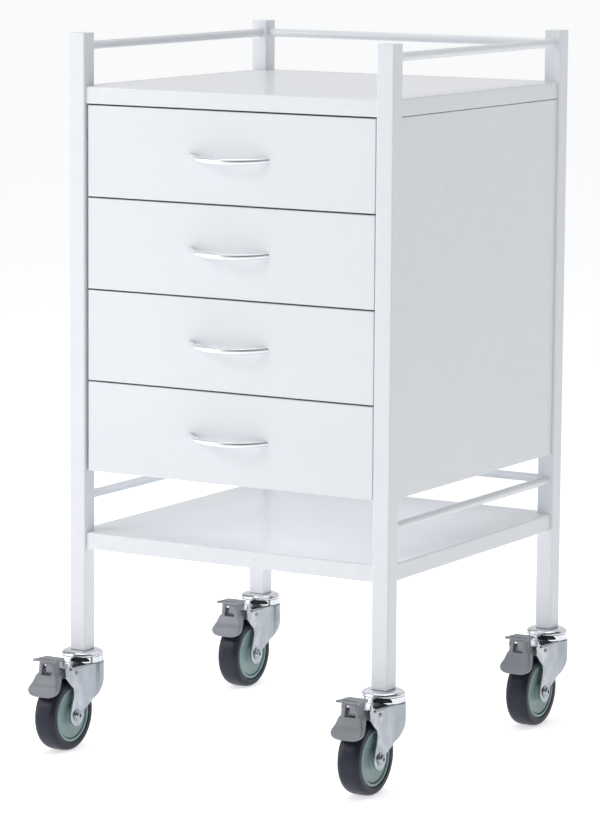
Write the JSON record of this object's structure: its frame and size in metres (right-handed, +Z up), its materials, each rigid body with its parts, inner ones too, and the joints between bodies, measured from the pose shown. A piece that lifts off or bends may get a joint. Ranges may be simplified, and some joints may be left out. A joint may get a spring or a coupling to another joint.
{
  "type": "rolling salon trolley",
  "caption": "Steel salon trolley on braked swivel castors, with a railed work surface, a cabinet of sliding drawers and a railed lower shelf.",
  "frame": {"origin": "on the floor, at the centre of the trolley's whole footprint, castors and pedals included", "axes": "+Z up, -Y towards the drawers' handles, +X to the right of a person facing the drawers"},
  "size_m": [0.533, 0.605, 0.9775],
  "materials": {
    "powder_coat": "smooth white powder coat, semi-gloss",
    "satin_chrome": "satin chrome",
    "bright_zinc": "bright plated pressed steel",
    "runner_steel": "zinc-plated rolled steel",
    "rubber": "dark grey rubber, satin",
    "wheel_plastic": "moulded grey-green nylon",
    "pedal_plastic": "moulded mid-grey nylon"
  },
  "bodies": {
    "frame": {"post_fl": "powder_coat", "post_fr": "powder_coat", "post_bl": "powder_coat", "post_br": "powder_coat", "top_rail_left": "powder_coat", "top_rail_right": "powder_coat", "top_rail_back": "powder_coat", "lower_rail_left": "powder_coat", "lower_rail_right": "powder_coat", "lower_rail_back": "powder_coat", "top_shelf": "powder_coat", "lower_shelf": "powder_coat", "side_panel_left": "powder_coat", "side_panel_right": "powder_coat", "back_panel": "powder_coat", "cabinet_floor": "powder_coat", "runner_rack_left": "runner_steel", "runner_rack_right": "runner_steel", "castor_head_fl": "bright_zinc", "castor_head_fr": "bright_zinc", "castor_head_bl": "bright_zinc", "castor_head_br": "bright_zinc"},
    "drawer_1": {"drawer_1_front": "powder_coat", "drawer_1_box": "powder_coat", "drawer_1_handle": "satin_chrome", "drawer_1_runner_left": "runner_steel", "drawer_1_runner_right": "runner_steel"},
    "drawer_2": {"drawer_2_front": "powder_coat", "drawer_2_box": "powder_coat", "drawer_2_handle": "satin_chrome", "drawer_2_runner_left": "runner_steel", "drawer_2_runner_right": "runner_steel"},
    "drawer_3": {"drawer_3_front": "powder_coat", "drawer_3_box": "powder_coat", "drawer_3_handle": "satin_chrome", "drawer_3_runner_left": "runner_steel", "drawer_3_runner_right": "runner_steel"},
    "drawer_4": {"drawer_4_front": "powder_coat", "drawer_4_box": "powder_coat", "drawer_4_handle": "satin_chrome", "drawer_4_runner_left": "runner_steel", "drawer_4_runner_right": "runner_steel"},
    "swivel_fl": {"castor_fork_fl": "bright_zinc"},
    "wheel_fl": {"wheel_core_fl": "wheel_plastic", "tyre_fl": "rubber"},
    "pedal_fl": {"brake_pedal_fl": "pedal_plastic"},
    "swivel_fr": {"castor_fork_fr": "bright_zinc"},
    "wheel_fr": {"wheel_core_fr": "wheel_plastic", "tyre_fr": "rubber"},
    "pedal_fr": {"brake_pedal_fr": "pedal_plastic"},
    "swivel_bl": {"castor_fork_bl": "bright_zinc"},
    "wheel_bl": {"wheel_core_bl": "wheel_plastic", "tyre_bl": "rubber"},
    "pedal_bl": {"brake_pedal_bl": "pedal_plastic"},
    "swivel_br": {"castor_fork_br": "bright_zinc"},
    "wheel_br": {"wheel_core_br": "wheel_plastic", "tyre_br": "rubber"},
    "pedal_br": {"brake_pedal_br": "pedal_plastic"}
  },
  "joints": [
    {"name": "drawer_1_slide", "type": "slide", "parent": "frame", "child": "drawer_1", "axis": [0, -1, 0], "range_m": [0, 0.3]},
    {"name": "drawer_2_slide", "type": "slide", "parent": "frame", "child": "drawer_2", "axis": [0, -1, 0], "range_m": [0, 0.3]},
    {"name": "drawer_3_slide", "type": "slide", "parent": "frame", "child": "drawer_3", "axis": [0, -1, 0], "range_m": [0, 0.3]},
    {"name": "drawer_4_slide", "type": "slide", "parent": "frame", "child": "drawer_4", "axis": [0, -1, 0], "range_m": [0, 0.3]},
    {"name": "swivel_fl", "type": "hinge", "parent": "frame", "child": "swivel_fl", "pos_m": [-0.2375, -0.2015, 0.1155], "axis": [0, 0, 1], "continuous": true},
    {"name": "wheel_spin_fl", "type": "hinge", "parent": "swivel_fl", "child": "wheel_fl", "pos_m": [-0.2375, -0.248, 0.05], "axis": [1, 0, 0], "continuous": true},
    {"name": "pedal_tilt_fl", "type": "hinge", "parent": "swivel_fl", "child": "pedal_fl", "pos_m": [-0.2375, -0.2495, 0.109], "axis": [1, 0, 0], "range_deg": [0, 10]},
    {"name": "swivel_fr", "type": "hinge", "parent": "frame", "child": "swivel_fr", "pos_m": [0.2375, -0.2015, 0.1155], "axis": [0, 0, 1], "continuous": true},
    {"name": "wheel_spin_fr", "type": "hinge", "parent": "swivel_fr", "child": "wheel_fr", "pos_m": [0.2375, -0.248, 0.05], "axis": [1, 0, 0], "continuous": true},
    {"name": "pedal_tilt_fr", "type": "hinge", "parent": "swivel_fr", "child": "pedal_fr", "pos_m": [0.2375, -0.2495, 0.109], "axis": [1, 0, 0], "range_deg": [0, 10]},
    {"name": "swivel_bl", "type": "hinge", "parent": "frame", "child": "swivel_bl", "pos_m": [-0.2375, 0.2735, 0.1155], "axis": [0, 0, 1], "continuous": true},
    {"name": "wheel_spin_bl", "type": "hinge", "parent": "swivel_bl", "child": "wheel_bl", "pos_m": [-0.2375, 0.227, 0.05], "axis": [1, 0, 0], "continuous": true},
    {"name": "pedal_tilt_bl", "type": "hinge", "parent": "swivel_bl", "child": "pedal_bl", "pos_m": [-0.2375, 0.2255, 0.109], "axis": [1, 0, 0], "range_deg": [0, 10]},
    {"name": "swivel_br", "type": "hinge", "parent": "frame", "child": "swivel_br", "pos_m": [0.2375, 0.2735, 0.1155], "axis": [0, 0, 1], "continuous": true},
    {"name": "wheel_spin_br", "type": "hinge", "parent": "swivel_br", "child": "wheel_br", "pos_m": [0.2375, 0.227, 0.05], "axis": [1, 0, 0], "continuous": true},
    {"name": "pedal_tilt_br", "type": "hinge", "parent": "swivel_br", "child": "pedal_br", "pos_m": [0.2375, 0.2255, 0.109], "axis": [1, 0, 0], "range_deg": [0, 10]}
  ]
}
